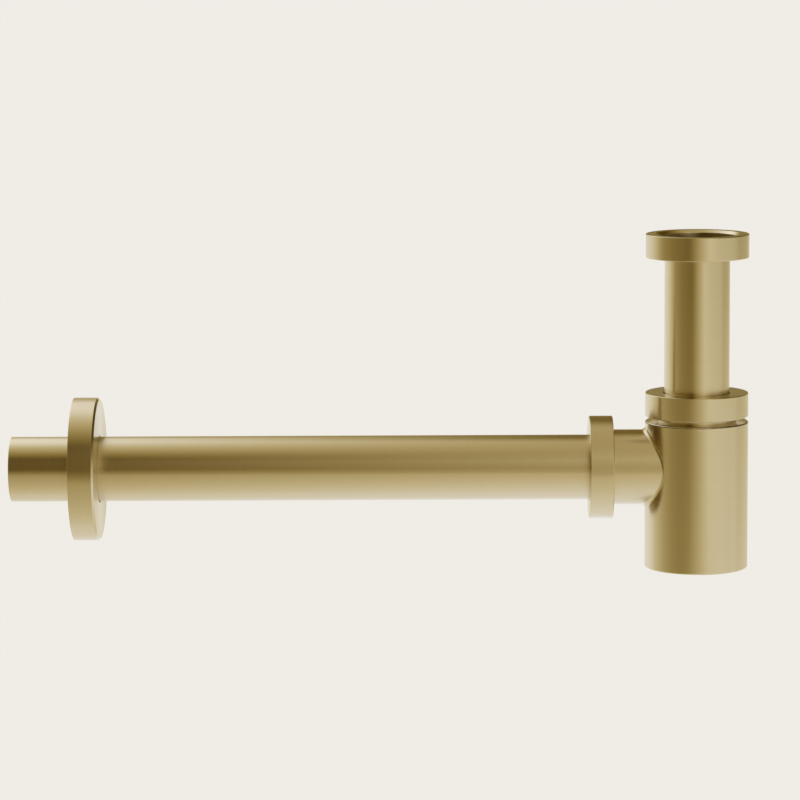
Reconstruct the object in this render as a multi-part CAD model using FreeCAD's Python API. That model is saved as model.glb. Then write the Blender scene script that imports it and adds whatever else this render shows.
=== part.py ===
import FreeCAD, Part
import os

# Bottle trap of turned and drawn brass, in millimetres.
# Origin: centre of the inlet thread, on the top face of the inlet washer, where the basin waste seats.
# +Z points up along the inlet; the wall tube runs towards -X.

# Tubes
TUBE_R = 16.0
TUBE_WALL = 1.2
TUBE_EDGE = 0.3

# Round nuts, all three with the same thread and outside size
NUT_HEIGHT = 11.6
NUT_WALL = 5.82
NUT_LIP = 2.0
NUT_MOUTH_CHAMFER = 1.3
NUT_EDGE = 0.4
NUT_HOLE_EDGE = 0.35
RELIEF_DEPTH = 0.6

# Inlet union
INLET_FLANGE_THICK = 1.2
INLET_WASHER_THICK = 2.0
INLET_SEAT_CLEAR = 0.2

# Compression joints at the cap and at the outlet
SLIP_RING_THICK = 1.2
SEAL_COLLAR_THICK = 2.0
SEAL_CONE_LENGTH = 3.5
SEAL_TIP = 0.5
CONE_RISE = 2.1
NECK_RIM = 0.8

# Bottle, turned to the nuts' outside size
INLET_TO_OUTLET = 108.8
BODY_WALL = 1.6
BODY_FLOOR = 2.0
BODY_ABOVE_OUTLET = 22.9
BODY_BELOW_OUTLET = 49.8
BODY_SHOULDER = 3.0
BODY_EDGE = 0.7
NECK_GROOVE = 2.5
DIP_ABOVE_FLOOR = 10.0

# Side outlet
SPIGOT_WALL = 2.0
SPIGOT_FILLET = 2.0
OUTLET_REACH = 41.4
COLLAR_SETBACK = 0.7
SOCKET_STOP = 30.0

# Wall tube and its flange
WALL_TUBE_LENGTH = 300.0
WALL_TUBE_TO_STOP = 8.3
WALL_STUB = 31.2
FLANGE_R = 35.3
FLANGE_DEPTH = 12.6
FLANGE_FACE = 2.0
FLANGE_RIM = 2.0
FLANGE_CHAMFER = 1.0
FLANGE_EDGE = 0.3
HUB_WALL = 2.0
HUB_SETBACK = 2.4
GRIP_CORD_R = 1.2

# Clearances
TUBE_CLEAR = 0.5
THREAD_CLEAR = 0.08
SEAL_CLEAR = 0.05
SEAT_CLEAR = 0.1
RING_CLEAR = 0.1
GROOVE_CLEAR = 0.1

# Sizes that follow from the ones above, with threads at their minor radius
TUBE_BORE_R = TUBE_R - TUBE_WALL
GUIDE_R = TUBE_R + TUBE_CLEAR
MOUTH_R = GUIDE_R + CONE_RISE
NECK_R = MOUTH_R + NECK_RIM
NUT_THREAD_R = NECK_R + THREAD_CLEAR
NUT_R = NUT_THREAD_R + NUT_WALL
BODY_R = NUT_R
SPIGOT_R = GUIDE_R + SPIGOT_WALL

OUTLET_Z = -INLET_TO_OUTLET
BODY_TOP_Z = OUTLET_Z + BODY_ABOVE_OUTLET
BODY_BASE_Z = OUTLET_Z - BODY_BELOW_OUTLET
FLOOR_Z = BODY_BASE_Z + BODY_FLOOR
DIP_END_Z = FLOOR_Z + DIP_ABOVE_FLOOR
INLET_LIP_Z = -INLET_WASHER_THICK - INLET_FLANGE_THICK
INLET_NUT_Z = INLET_LIP_Z - NUT_LIP

JOINT_STACK = SLIP_RING_THICK + SEAL_COLLAR_THICK
CAP_TOP_Z = BODY_TOP_Z + NECK_GROOVE + NUT_HEIGHT
NECK_TOP_Z = CAP_TOP_Z - NUT_LIP - JOINT_STACK - SEAT_CLEAR
OUTLET_FACE_X = -OUTLET_REACH - NUT_HEIGHT
SOCKET_END_X = OUTLET_FACE_X + NUT_LIP + JOINT_STACK + SEAT_CLEAR

WALL_TUBE_IN_X = -SOCKET_STOP - WALL_TUBE_TO_STOP
WALL_TUBE_END_X = WALL_TUBE_IN_X - WALL_TUBE_LENGTH
FLANGE_BACK_X = WALL_TUBE_END_X + WALL_STUB
GRIP_RING_R = TUBE_R + SEAL_CLEAR + GRIP_CORD_R
GRIP_GROOVE_R = GRIP_RING_R + GRIP_CORD_R + SEAL_CLEAR
GRIP_GROOVE_HALF = GRIP_CORD_R + GROOVE_CLEAR
HUB_R = GRIP_GROOVE_R + HUB_WALL
HUB_END = FLANGE_DEPTH - HUB_SETBACK
GRIP_AT = (FLANGE_FACE + HUB_END) / 2

UP = FreeCAD.Vector(0, 0, 1)
DOWN = FreeCAD.Vector(0, 0, -1)
TO_WALL = FreeCAD.Vector(-1, 0, 0)
INWARD = FreeCAD.Vector(1, 0, 0)
MATCH = 1e-3


def turned(section):
    """Solid turned about +Z from a closed section of (radius, height) corners."""
    corners = [FreeCAD.Vector(radius, 0, height) for radius, height in section]
    face = Part.Face(Part.makePolygon(corners + corners[:1]))
    return face.revolve(FreeCAD.Vector(0, 0, 0), UP, 360)


def rim_edges(shape, rims):
    """Full circles about +Z on the shape at the given (radius, height) places."""
    found = []
    for edge in shape.Edges:
        if not isinstance(edge.Curve, Part.Circle):
            continue
        for radius, height in rims:
            same_radius = abs(edge.Curve.Radius - radius) < MATCH
            same_height = abs(edge.Curve.Center.z - height) < MATCH
            if same_radius and same_height:
                found.append(edge)
    return found


def rounded(shape, radius, rims):
    """The shape with the named circular rims rounded."""
    return shape.makeFillet(radius, rim_edges(shape, rims))


def placed(shape, direction, origin):
    """A turned shape with its +Z laid along a direction and its own zero at a point."""
    turn = FreeCAD.Rotation(UP, direction)
    laid = shape.copy()
    laid.Placement = FreeCAD.Placement(origin, turn)
    return laid


def round_nut(stack):
    """Nut with its lip at zero and its threaded mouth upwards; the stack sits on the lip."""
    relief_r = NUT_THREAD_R + RELIEF_DEPTH
    relief_top = NUT_LIP + stack
    chamfer_r = NUT_THREAD_R + NUT_MOUTH_CHAMFER
    chamfer_z = NUT_HEIGHT - NUT_MOUTH_CHAMFER
    body = turned([
        (GUIDE_R, 0),
        (NUT_R, 0),
        (NUT_R, NUT_HEIGHT),
        (chamfer_r, NUT_HEIGHT),
        (NUT_THREAD_R, chamfer_z),
        (NUT_THREAD_R, relief_top),
        (relief_r, relief_top),
        (relief_r, NUT_LIP),
        (GUIDE_R, NUT_LIP),
    ])
    body = rounded(body, NUT_EDGE, [(NUT_R, 0), (NUT_R, NUT_HEIGHT)])
    return rounded(body, NUT_HOLE_EDGE, [(GUIDE_R, 0)])


def slip_ring():
    """Flat ring that lies under a nut's lip, held in the thread relief."""
    outer_r = NUT_THREAD_R + RELIEF_DEPTH - RING_CLEAR
    return turned([
        (GUIDE_R, 0),
        (outer_r, 0),
        (outer_r, SLIP_RING_THICK),
        (GUIDE_R, SLIP_RING_THICK),
    ])


def cone_seal():
    """Rubber cone: its collar starts at zero and its tip points up into the socket's mouth."""
    inner_r = TUBE_R + SEAL_CLEAR
    slope = CONE_RISE / SEAL_CONE_LENGTH
    cone_start_r = MOUTH_R - slope * SEAL_CLEAR - SEAL_CLEAR
    cone_end = SEAL_COLLAR_THICK + SEAT_CLEAR + SEAL_CONE_LENGTH - SEAL_TIP
    cone_end_r = GUIDE_R + slope * SEAL_TIP - SEAL_CLEAR
    return turned([
        (inner_r, 0),
        (NECK_R - SEAT_CLEAR, 0),
        (NECK_R - SEAT_CLEAR, SEAL_COLLAR_THICK),
        (cone_start_r, SEAL_COLLAR_THICK),
        (cone_end_r, cone_end),
        (inner_r, cone_end),
    ])


def flanged_tube():
    """Inlet tube with its flange lying on the inlet nut's lip."""
    flange_r = NUT_THREAD_R - INLET_SEAT_CLEAR
    tube = turned([
        (TUBE_BORE_R, DIP_END_Z),
        (TUBE_R, DIP_END_Z),
        (TUBE_R, INLET_LIP_Z),
        (flange_r, INLET_LIP_Z),
        (flange_r, -INLET_WASHER_THICK),
        (TUBE_BORE_R, -INLET_WASHER_THICK),
    ])
    return rounded(tube, TUBE_EDGE, [(TUBE_R, DIP_END_Z)])


def flat_washer():
    """Inlet washer, from the tube's flange up to the seat at zero."""
    outer_r = NUT_THREAD_R - INLET_SEAT_CLEAR
    inner_r = TUBE_BORE_R + INLET_SEAT_CLEAR
    return turned([
        (inner_r, -INLET_WASHER_THICK),
        (outer_r, -INLET_WASHER_THICK),
        (outer_r, 0),
        (inner_r, 0),
    ])


def cone_mouth(end):
    """Space of a neck's tapered mouth below its end, widening upwards to that end."""
    return Part.makeCone(
        GUIDE_R, MOUTH_R, SEAL_CONE_LENGTH, FreeCAD.Vector(0, 0, end - SEAL_CONE_LENGTH)
    )


def bottle_body():
    """Closed body with its neck on top and its side outlet, as one brazed piece."""
    body_height = BODY_TOP_Z - BODY_BASE_Z
    base = FreeCAD.Vector(0, 0, BODY_BASE_Z)
    outside = Part.makeCylinder(BODY_R, body_height, base)
    outside = rounded(outside, BODY_EDGE, [(BODY_R, BODY_BASE_Z), (BODY_R, BODY_TOP_Z)])

    # The spigot joins the body along a saddle with a small brazed fillet.
    outlet = FreeCAD.Vector(0, 0, OUTLET_Z)
    collar_start = OUTLET_REACH + COLLAR_SETBACK
    spigot = Part.makeCylinder(SPIGOT_R, collar_start, outlet, TO_WALL)
    outside = outside.fuse(spigot)
    outside = outside.makeFillet(SPIGOT_FILLET, saddle_edges(outside))

    collar_at = FreeCAD.Vector(-collar_start, 0, OUTLET_Z)
    collar = Part.makeCylinder(NECK_R, -SOCKET_END_X - collar_start, collar_at, TO_WALL)
    neck_at = FreeCAD.Vector(0, 0, BODY_TOP_Z)
    neck = Part.makeCylinder(NECK_R, NECK_TOP_Z - BODY_TOP_Z, neck_at)
    outside = outside.fuse([collar, neck])

    # Inside: the chamber, the guide for the inlet tube and the socket for the wall tube.
    floor = FreeCAD.Vector(0, 0, FLOOR_Z)
    chamber_height = BODY_TOP_Z - BODY_SHOULDER - FLOOR_Z
    chamber = Part.makeCylinder(BODY_R - BODY_WALL, chamber_height, floor)
    guide = Part.makeCylinder(GUIDE_R, NECK_TOP_Z - OUTLET_Z, outlet)
    passage = Part.makeCylinder(TUBE_BORE_R, SOCKET_STOP, outlet, TO_WALL)
    socket_at = FreeCAD.Vector(-SOCKET_STOP, 0, OUTLET_Z)
    socket = Part.makeCylinder(GUIDE_R, -SOCKET_END_X - SOCKET_STOP, socket_at, TO_WALL)
    side_mouth = placed(cone_mouth(-SOCKET_END_X), TO_WALL, outlet)
    return outside.cut([chamber, guide, cone_mouth(NECK_TOP_Z), passage, socket, side_mouth])


def saddle_edges(shape):
    """Edges where the spigot runs into the body: neither straight nor circular."""
    return [
        edge for edge in shape.Edges
        if not isinstance(edge.Curve, (Part.Line, Part.Circle))
    ]


def plain_tube(length):
    """Straight tube from zero upwards, with its outer end edges eased."""
    tube = turned([
        (TUBE_BORE_R, 0),
        (TUBE_R, 0),
        (TUBE_R, length),
        (TUBE_BORE_R, length),
    ])
    return rounded(tube, TUBE_EDGE, [(TUBE_R, 0), (TUBE_R, length)])


def cover_cup():
    """Wall flange: chamfered face at zero, open rim upwards, and a hub with a groove for its grip ring."""
    rim_inner_r = FLANGE_R - FLANGE_RIM
    cup = turned([
        (GUIDE_R, 0),
        (FLANGE_R - FLANGE_CHAMFER, 0),
        (FLANGE_R, FLANGE_CHAMFER),
        (FLANGE_R, FLANGE_DEPTH),
        (rim_inner_r, FLANGE_DEPTH),
        (rim_inner_r, FLANGE_FACE),
        (HUB_R, FLANGE_FACE),
        (HUB_R, HUB_END),
        (GUIDE_R, HUB_END),
        (GUIDE_R, GRIP_AT + GRIP_GROOVE_HALF),
        (GRIP_GROOVE_R, GRIP_AT + GRIP_GROOVE_HALF),
        (GRIP_GROOVE_R, GRIP_AT - GRIP_GROOVE_HALF),
        (GUIDE_R, GRIP_AT - GRIP_GROOVE_HALF),
    ])
    cup = rounded(cup, FLANGE_EDGE, [(FLANGE_R, FLANGE_DEPTH)])
    return rounded(cup, NUT_HOLE_EDGE, [(GUIDE_R, 0)])


def grip_ring():
    """Round rubber ring in the flange's hub."""
    return Part.makeTorus(GRIP_RING_R, GRIP_CORD_R, FreeCAD.Vector(0, 0, GRIP_AT))


def on_inlet(height):
    """Point on the inlet axis."""
    return FreeCAD.Vector(0, 0, height)


def on_outlet(reach):
    """Point on the outlet axis."""
    return FreeCAD.Vector(reach, 0, OUTLET_Z)


def trap_pieces():
    """All pieces by node name, in place."""
    inlet_stack = INLET_FLANGE_THICK + INLET_WASHER_THICK
    ring_start = NUT_LIP
    seal_start = NUT_LIP + SLIP_RING_THICK
    clamp_nut = round_nut(JOINT_STACK)
    face_x = FLANGE_BACK_X + FLANGE_DEPTH
    return {
        "inlet_nut": placed(round_nut(inlet_stack), UP, on_inlet(INLET_NUT_Z)),
        "inlet_washer": flat_washer(),
        "inlet_tube": flanged_tube(),
        "cap_nut": placed(clamp_nut, DOWN, on_inlet(CAP_TOP_Z)),
        "cap_slip_ring": placed(slip_ring(), DOWN, on_inlet(CAP_TOP_Z - ring_start)),
        "cap_cone_seal": placed(cone_seal(), DOWN, on_inlet(CAP_TOP_Z - seal_start)),
        "bottle": bottle_body(),
        "outlet_nut": placed(clamp_nut, INWARD, on_outlet(OUTLET_FACE_X)),
        "outlet_slip_ring": placed(slip_ring(), INWARD, on_outlet(OUTLET_FACE_X + ring_start)),
        "outlet_cone_seal": placed(cone_seal(), INWARD, on_outlet(OUTLET_FACE_X + seal_start)),
        "wall_tube": placed(plain_tube(WALL_TUBE_LENGTH), TO_WALL, on_outlet(WALL_TUBE_IN_X)),
        "wall_flange": placed(cover_cup(), TO_WALL, on_outlet(face_x)),
        "flange_grip_ring": placed(grip_ring(), TO_WALL, on_outlet(face_x)),
    }


os.makedirs("parts", exist_ok=True)
for node, shape in trap_pieces().items():
    shape.exportStep(os.path.join("parts", node + ".step"))
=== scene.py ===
"""Looks of a bottle trap in brushed brass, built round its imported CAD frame.

Every metal piece is a finely turned skin that keeps the form of its CAD solid and adds what the solid
leaves plain: cut threads, eased edges and the grain of turned and brushed brass. Sizes are in metres.
"""
import logging
import math
from dataclasses import dataclass, field
from enum import Enum
from typing import Optional, Sequence

import bpy
import numpy as np
from mathutils import Matrix, Vector


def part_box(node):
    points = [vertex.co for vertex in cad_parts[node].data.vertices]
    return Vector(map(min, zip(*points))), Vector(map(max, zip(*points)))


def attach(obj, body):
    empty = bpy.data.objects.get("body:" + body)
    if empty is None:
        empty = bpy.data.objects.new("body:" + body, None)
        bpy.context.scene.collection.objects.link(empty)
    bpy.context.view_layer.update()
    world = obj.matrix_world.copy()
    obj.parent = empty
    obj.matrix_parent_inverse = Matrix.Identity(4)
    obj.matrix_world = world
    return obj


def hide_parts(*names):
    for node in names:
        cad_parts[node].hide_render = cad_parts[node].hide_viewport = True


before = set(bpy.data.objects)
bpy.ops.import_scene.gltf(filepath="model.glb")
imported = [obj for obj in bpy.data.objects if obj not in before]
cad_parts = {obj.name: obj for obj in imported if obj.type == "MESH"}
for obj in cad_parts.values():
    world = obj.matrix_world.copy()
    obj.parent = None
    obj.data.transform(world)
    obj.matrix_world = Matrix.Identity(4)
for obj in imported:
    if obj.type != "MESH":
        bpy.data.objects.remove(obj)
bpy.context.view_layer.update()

log = logging.getLogger("bottle_trap")

MM = 0.001
ROUND_COLUMNS = 192
EASE_STEPS = 6
WELD_STEP = 1e-7
SHORTEST_SIDE = 1e-9

# Clearance round the tubes and minor radius of the thread, as in the CAD model
TUBE_CLEAR = 0.5 * MM
THREAD_RADIUS = 19.48 * MM
# Plain length of the inlet nut's bore below its mouth
INLET_PLAIN_BORE = 4.3 * MM

UP = (0.0, 0.0, 1.0)
DOWN = (0.0, 0.0, -1.0)
INWARD = (1.0, 0.0, 0.0)
TO_WALL = (-1.0, 0.0, 0.0)

# A point, a direction or a colour
Triple = tuple[float, float, float]
# Places along one line of the light tent, each with its brightness or share
Steps = tuple[tuple[float, float], ...]


class Turning(Enum):
    """Axis about which a piece was turned and brushed."""

    UPRIGHT = "upright"
    LEVEL = "level"


class Slot(Enum):
    """Material slots of the record."""

    BRASS = "brushed_brass"
    RUBBER = "seal_rubber"
    PLASTIC = "slip_plastic"


@dataclass(frozen=True)
class Corner:
    """Corner of a turned section.

    Attributes:
        radius: distance from the axis.
        height: place along the axis.
        ease: radius of the rounding of this corner.
    """

    radius: float
    height: float
    ease: float = 0.0


@dataclass(frozen=True)
class Lay:
    """How a turned piece lies.

    Attributes:
        origin: its zero point.
        along: direction of its own axis.
    """

    origin: Triple
    along: Triple

    def basis(self) -> tuple[np.ndarray, np.ndarray, np.ndarray]:
        """Directions of the piece.

        Returns:
            The first and second direction across the axis and the axis itself, right-handed.
        """
        along = np.array(self.along, float)
        first = np.array(INWARD if abs(along[2]) > 0.5 else UP)
        return first, np.cross(along, first), along

    def ring(self, radius: np.ndarray, height: np.ndarray, angle: np.ndarray) -> np.ndarray:
        """Points at radii, heights and angles that are of one shape or spread to it, coordinates last."""
        return np.array(self.origin) + self.turned_vector(radius, height, angle)

    def turned_vector(self, outward: np.ndarray, onward: np.ndarray, angle: np.ndarray) -> np.ndarray:
        """Directions made of an outward and an axial share.

        Args:
            outward: shares away from the axis.
            onward: shares along the axis.
            angle: turns about the axis in radians.

        Returns:
            An array of directions with the coordinates last.
        """
        first, second, along = self.basis()
        outward, onward, angle = np.broadcast_arrays(outward, onward, angle)
        across = np.cos(angle)[..., None] * first + np.sin(angle)[..., None] * second
        return outward[..., None] * across + onward[..., None] * along


def even_turn(columns: int = ROUND_COLUMNS, start: float = 0.0) -> np.ndarray:
    """Evenly spaced angles round a full turn, in radians from the first one."""
    return start + np.arange(columns) * (2 * math.pi / columns)


def eased_strips(corners: Sequence[Corner]) -> list[np.ndarray]:
    """Straight and rounded strips of an open section, with exact normals.

    Args:
        corners: corners in order, with the metal on the left of the way.

    Returns:
        For each strip an array of rows of radius, height, outward and axial share of the normal.
    """
    places = [np.array((c.radius, c.height)) for c in corners]
    leave, arrive, arcs = list(places), list(places), {}
    for i in range(1, len(corners) - 1):
        if corners[i].ease <= 0:
            continue
        back = places[i - 1] - places[i]
        ahead = places[i + 1] - places[i]
        back, ahead = back / np.linalg.norm(back), ahead / np.linalg.norm(ahead)
        half = math.acos(float(np.clip(back @ ahead, -1, 1))) / 2
        reach = corners[i].ease / math.tan(half)
        middle = (back + ahead) / np.linalg.norm(back + ahead)
        centre = places[i] + middle * corners[i].ease / math.sin(half)
        arrive[i], leave[i] = places[i] + back * reach, places[i] + ahead * reach
        arcs[i] = centre
    strips = []
    for i in range(len(corners) - 1):
        way = arrive[i + 1] - leave[i]
        side = places[i + 1] - places[i]
        normal = np.array((side[1], -side[0])) / np.linalg.norm(side)
        if np.linalg.norm(way) > SHORTEST_SIDE:
            strips.append(np.array([(*leave[i], *normal), (*arrive[i + 1], *normal)]))
        if i + 1 in arcs:
            centre = arcs[i + 1]
            start, end = arrive[i + 1] - centre, leave[i + 1] - centre
            first = math.atan2(start[1], start[0])
            sweep = math.atan2(start[0] * end[1] - start[1] * end[0], start @ end)
            sign = 1.0 if start @ normal > 0 else -1.0
            rows = []
            for step in range(EASE_STEPS + 1):
                angle = first + sweep * step / EASE_STEPS
                out = np.array((math.cos(angle), math.sin(angle)))
                rows.append((*(centre + out * corners[i + 1].ease), *(out * sign)))
            rows[0] = (*arrive[i + 1], *rows[0][2:])
            rows[-1] = (*leave[i + 1], *rows[-1][2:])
            strips.append(np.array(rows))
    return strips


def grid_normals(points: np.ndarray) -> np.ndarray:
    """Normals of a grid from its neighbours.

    Args:
        points: rows by columns by 3, with columns that close on themselves.

    Returns:
        Unit normals of the same shape.
    """
    round_way = np.roll(points, -1, axis=1) - np.roll(points, 1, axis=1)
    along_way = np.gradient(points, axis=0)
    normals = np.cross(round_way, along_way)
    return normals / np.linalg.norm(normals, axis=2, keepdims=True)


class Skin:
    """Skin of one piece, gathered from grids of points whose columns close on themselves."""

    def __init__(self) -> None:
        """Starts with no faces."""
        self.points: list[np.ndarray] = []
        self.normals: list[np.ndarray] = []
        self.quads: list[np.ndarray] = []
        self.finishes: list[np.ndarray] = []
        self.count = 0

    def grid(
        self,
        points: np.ndarray,
        normals: Optional[np.ndarray] = None,
        finish: int = 0,
        keep: Optional[np.ndarray] = None,
    ) -> None:
        """Adds one grid.

        Args:
            points: rows by columns by 3.
            normals: unit normals of the same shape, or none to take them from the points.
            finish: index of the finish in the piece's own list.
            keep: rows less one by columns, true where there is a face.
        """
        rows, columns = points.shape[:2]
        normals = grid_normals(points) if normals is None else normals
        index = self.count + np.arange(rows * columns).reshape(rows, columns)
        onward = np.roll(index, -1, axis=1)
        quads = np.stack([index[:-1], onward[:-1], onward[1:], index[1:]], axis=2)
        quads = quads.reshape(-1, 4) if keep is None else quads[keep]
        self.points.append(points.reshape(-1, 3))
        self.normals.append(normals.reshape(-1, 3))
        self.quads.append(quads)
        self.finishes.append(np.full(len(quads), finish, np.int32))
        self.count += rows * columns

    def turn(self, lay: Lay, corners: Sequence[Corner], angles: np.ndarray, finish: int = 0) -> None:
        """Adds a turned section.

        Args:
            lay: how the piece lies.
            corners: the open section, with the metal on the left of the way.
            angles: the columns.
            finish: index of the finish in the piece's own list.
        """
        for strip in eased_strips(corners):
            radius, height, outward, onward = (strip[:, k, None] for k in range(4))
            points = lay.ring(radius, height, angles[None])
            self.grid(points, lay.turned_vector(outward, onward, angles[None]), finish)

    def piece(self, name: str, materials: Sequence[bpy.types.Material]) -> bpy.types.Object:
        """Welds the grids into one object.

        Args:
            name: the piece's name.
            materials: its finishes, in the order of the indices.

        Returns:
            The object, with its exact normals.
        """
        points, normals = np.concatenate(self.points), np.concatenate(self.normals)
        quads, finishes = np.concatenate(self.quads), np.concatenate(self.finishes)
        keys = np.round(points / WELD_STEP).astype(np.int64)
        _, first, welded = np.unique(keys, axis=0, return_index=True, return_inverse=True)
        welded = welded.reshape(-1)
        faces, loops, used = [], [], []
        for quad, finish in zip(quads, finishes):
            corners = [(int(welded[c]), c) for c in quad]
            kept = [c for k, c in enumerate(corners) if c[0] != corners[k - 1][0]]
            if len(kept) > 2:
                faces.append([c[0] for c in kept])
                loops.extend(c[1] for c in kept)
                used.append(int(finish))
        mesh = bpy.data.meshes.new(name)
        mesh.from_pydata(points[first].tolist(), [], faces)
        for material in materials:
            mesh.materials.append(material)
        mesh.polygons.foreach_set("material_index", used)
        mesh.polygons.foreach_set("use_smooth", [True] * len(faces))
        mesh.normals_split_custom_set(normals[loops].tolist())
        mesh.update()
        made = bpy.data.objects.new(name, mesh)
        bpy.context.scene.collection.objects.link(made)
        return made


def stand_in(made: bpy.types.Object, body: str, node: str) -> bpy.types.Object:
    """Lets a brass piece ride on its body in place of its CAD node.

    Args:
        made: the piece.
        body: the CAD body that it rides on.
        node: the CAD node that it replaces.

    Returns:
        The piece.
    """
    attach(made, body)
    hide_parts(node)
    return made


class Tree:
    """A node tree with short ways to place and join nodes."""

    def __init__(self, nodes: bpy.types.NodeTree) -> None:
        """Takes the tree to fill."""
        self.tree = nodes

    def feed(self, node: bpy.types.Node, links: dict) -> None:
        """Gives a node's inputs what they take.

        Args:
            node: the node.
            links: for each input, by name or number, an output socket or a constant.
        """
        for key, value in links.items():
            if isinstance(value, bpy.types.NodeSocket):
                self.tree.links.new(value, node.inputs[key])
            else:
                node.inputs[key].default_value = value

    def add(self, kind: str, links: Optional[dict] = None, **settings: object) -> bpy.types.Node:
        """Places a node.

        Args:
            kind: the node's type.
            links: for each input, by name or number, an output socket or a constant.
            settings: properties of the node.

        Returns:
            The node.
        """
        node = self.tree.nodes.new(kind)
        for key, value in settings.items():
            setattr(node, key, value)
        self.feed(node, links or {})
        return node

    def math(self, operation: str, *values: object) -> bpy.types.NodeSocket:
        """Works out sockets or numbers, given in order, in a Math node."""
        return self.add("ShaderNodeMath", dict(enumerate(values)), operation=operation).outputs[0]

    def mix(self, share: bpy.types.NodeSocket, first: object, second: object) -> bpy.types.NodeSocket:
        """Blends two numbers by the share of the second."""
        return self.add("ShaderNodeMix", {0: share, 2: first, 3: second}, data_type="FLOAT").outputs[0]

    def tint(self, share: bpy.types.NodeSocket, first: Triple, second: Triple) -> bpy.types.NodeSocket:
        """Blends two colours by the share of the second."""
        links = {0: share, 6: (*first, 1.0), 7: (*second, 1.0)}
        return self.add("ShaderNodeMix", links, data_type="RGBA").outputs[2]

    def span(
        self,
        value: bpy.types.NodeSocket,
        given: Sequence[float],
        wanted: Sequence[float] = (0.0, 1.0),
        kind: str = "LINEAR",
    ) -> bpy.types.NodeSocket:
        """Carries a value from its given range to the wanted one, and keeps it there."""
        links = dict(enumerate((value, *given, *wanted)))
        return self.add("ShaderNodeMapRange", links, interpolation_type=kind).outputs[0]


class NodeGroups:
    """Effects that several finishes share, each built once.

    Attributes:
        smallest_radius: distance from the axis below which the hair lines stop narrowing.
        grain_shares: shares of the fine and coarse lines in the relief.
    """

    smallest_radius: float = 0.01 * MM
    grain_shares: tuple[float, float] = (0.6, 0.4)

    def __init__(self) -> None:
        """Builds the groups."""
        self.grain = self.turned_grain()
        self.mottle = self.fine_mottle()

    @staticmethod
    def start(
        name: str, inputs: Sequence[tuple], outputs: Sequence[str]
    ) -> tuple[Tree, dict, bpy.types.Node]:
        """Starts a group with its sockets.

        Args:
            name: the group's name.
            inputs: name, kind and value of each input.
            outputs: names of the value outputs.

        Returns:
            The tree, its inputs by name and the output node.
        """
        group = bpy.data.node_groups.new(name, "ShaderNodeTree")
        for label, kind, value in inputs:
            socket = group.interface.new_socket(label, in_out="INPUT", socket_type=kind)
            if value is not None:
                socket.default_value = value
        for label in outputs:
            group.interface.new_socket(label, in_out="OUTPUT", socket_type="NodeSocketFloat")
        tree = Tree(group)
        given = tree.add("NodeGroupInput")
        return tree, {s.name: s for s in given.outputs}, tree.add("NodeGroupOutput")

    def turned_grain(self) -> bpy.types.NodeTree:
        """Hair lines that run round the axis of turning.

        Returns:
            A group that takes a place with its Z along the axis, and gives Tone, Grain and Height.
        """
        tree, given, result = self.start(
            "turned_grain",
            [
                ("Place", "NodeSocketVector", None),
                ("Fine", "NodeSocketFloat", 5200.0),
                ("Coarse", "NodeSocketFloat", 900.0),
                ("Sweep", "NodeSocketFloat", 1.6),
            ],
            ["Tone", "Grain", "Height"],
        )
        parts = tree.add("ShaderNodeSeparateXYZ", {0: given["Place"]})
        x, y, z = (parts.outputs[k] for k in range(3))
        squares = [tree.math("MULTIPLY", part, part) for part in (x, y)]
        radius = tree.math("SQRT", tree.math("ADD", *squares))
        safe = tree.math("MAXIMUM", radius, self.smallest_radius)
        swept = [tree.math("MULTIPLY", tree.math("DIVIDE", part, safe), given["Sweep"]) for part in (x, y)]
        track = tree.math("ADD", z, radius)
        noises = []
        for pitch, detail in (("Fine", 2.0), ("Coarse", 3.0)):
            along = tree.math("MULTIPLY", track, given[pitch])
            place = tree.add("ShaderNodeCombineXYZ", {0: swept[0], 1: swept[1], 2: along})
            noise = tree.add(
                "ShaderNodeTexNoise", {"Vector": place.outputs[0], "Scale": 1.0, "Detail": detail}
            )
            noises.append(noise.outputs[0])
        fine, coarse = noises
        shares = [tree.math("MULTIPLY", noise, share) for noise, share in zip(noises, self.grain_shares)]
        tree.feed(result, {"Tone": coarse, "Grain": fine, "Height": tree.math("ADD", *shares)})
        return tree.tree

    def fine_mottle(self) -> bpy.types.NodeTree:
        """Fine cloudy unevenness of moulded rubber and plastic.

        Returns:
            A group that takes a place and gives Cloud and Speck.
        """
        tree, given, result = self.start(
            "fine_mottle",
            [("Place", "NodeSocketVector", None), ("Cloud Scale", "NodeSocketFloat", 120.0),
             ("Speck Scale", "NodeSocketFloat", 2600.0)],
            ["Cloud", "Speck"],
        )
        for label, detail in (("Cloud", 4.0), ("Speck", 2.0)):
            noise = tree.add(
                "ShaderNodeTexNoise",
                {"Vector": given["Place"], "Scale": given[label + " Scale"], "Detail": detail},
            )
            tree.feed(result, {label: noise.outputs[0]})
        return tree.tree


def new_material(name: str) -> tuple[bpy.types.Material, Tree]:
    """Starts a material.

    Args:
        name: the material's name.

    Returns:
        The material and its nodes.
    """
    made = bpy.data.materials.new(name)
    made.use_nodes = True
    return made, Tree(made.node_tree)


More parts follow.
